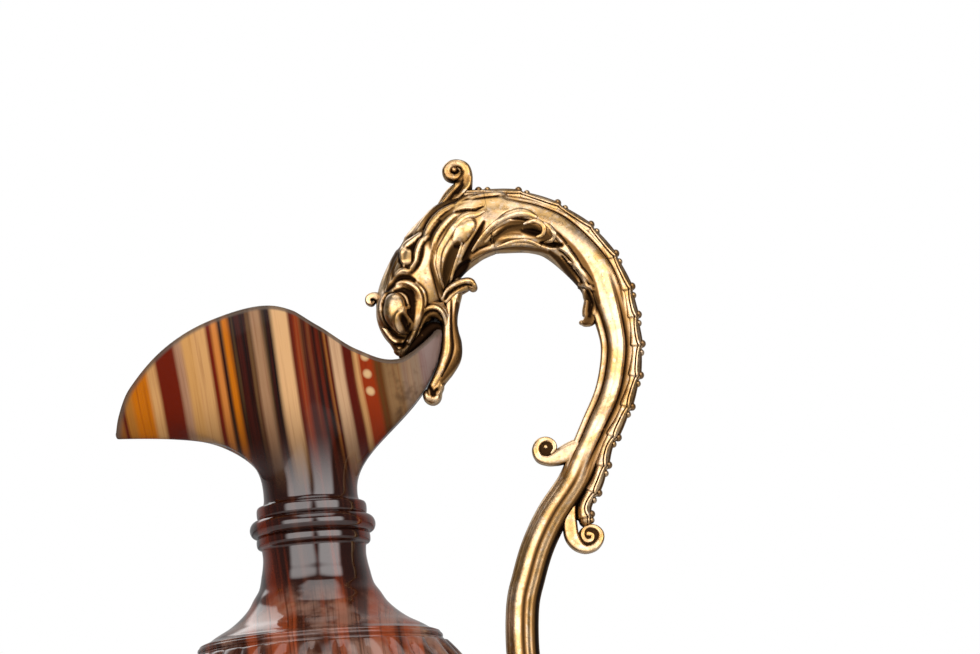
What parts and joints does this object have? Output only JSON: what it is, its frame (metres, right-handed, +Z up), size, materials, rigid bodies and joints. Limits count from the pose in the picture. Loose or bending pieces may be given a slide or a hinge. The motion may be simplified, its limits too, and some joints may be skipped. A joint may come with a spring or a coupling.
{
  "type": "ewer",
  "caption": "Banded hardstone ewer with a helmet-shaped open lip, gadrooned belly, gilt mounts and a gilt dragon-head handle that bites the rear of the lip.",
  "frame": {"origin": "centre of the flat underside of the base plate, on the surface that the ewer stands on", "axes": "+Z up along the axis of the body, -X towards the spout, +X towards the handle, and the handle's middle plane is Y = 0"},
  "size_m": [0.164, 0.112, 0.2999],
  "materials": {
    "banded_agate": "polished, banded red-brown, tan and near black",
    "gilt_mounts": "worn fire gilding over silver",
    "gilt_handle": "cast and chased, worn fire gilding with dark recesses",
    "gilt_plate": "plain, dull gilding",
    "mastic": "matt brown resin mastic",
    "steel_rod": "plain rod"
  },
  "bodies": {
    "root": {"upper_body": "banded_agate", "lower_bowl": "banded_agate", "stem_knop": "banded_agate", "foot_dome": "banded_agate", "girdle": "gilt_mounts", "girdle_bedding": "mastic", "body_cup": "gilt_mounts", "cup_bedding": "mastic", "upper_collar": "gilt_mounts", "lower_collar": "gilt_mounts", "foot_rim": "gilt_mounts", "base_plate": "gilt_plate", "tie_rod": "steel_rod", "dragon_head": "gilt_handle", "lower_jaw": "gilt_handle", "crown_curl": "gilt_handle", "brow_curl": "gilt_handle", "throat_curl": "gilt_handle", "handle_arch": "gilt_handle", "tail_rod": "gilt_handle", "spine_crest": "gilt_handle", "leaf_near": "gilt_handle", "leaf_far": "gilt_handle", "fore_leaf_near": "gilt_handle", "fore_leaf_far": "gilt_handle", "arch_spur": "gilt_handle", "inner_scroll": "gilt_handle", "outer_scroll": "gilt_handle", "tail_lug": "gilt_handle", "tail_rivet_near": "gilt_handle", "tail_rivet_far": "gilt_handle", "tail_volute": "gilt_handle"}
  },
  "joints": []
}
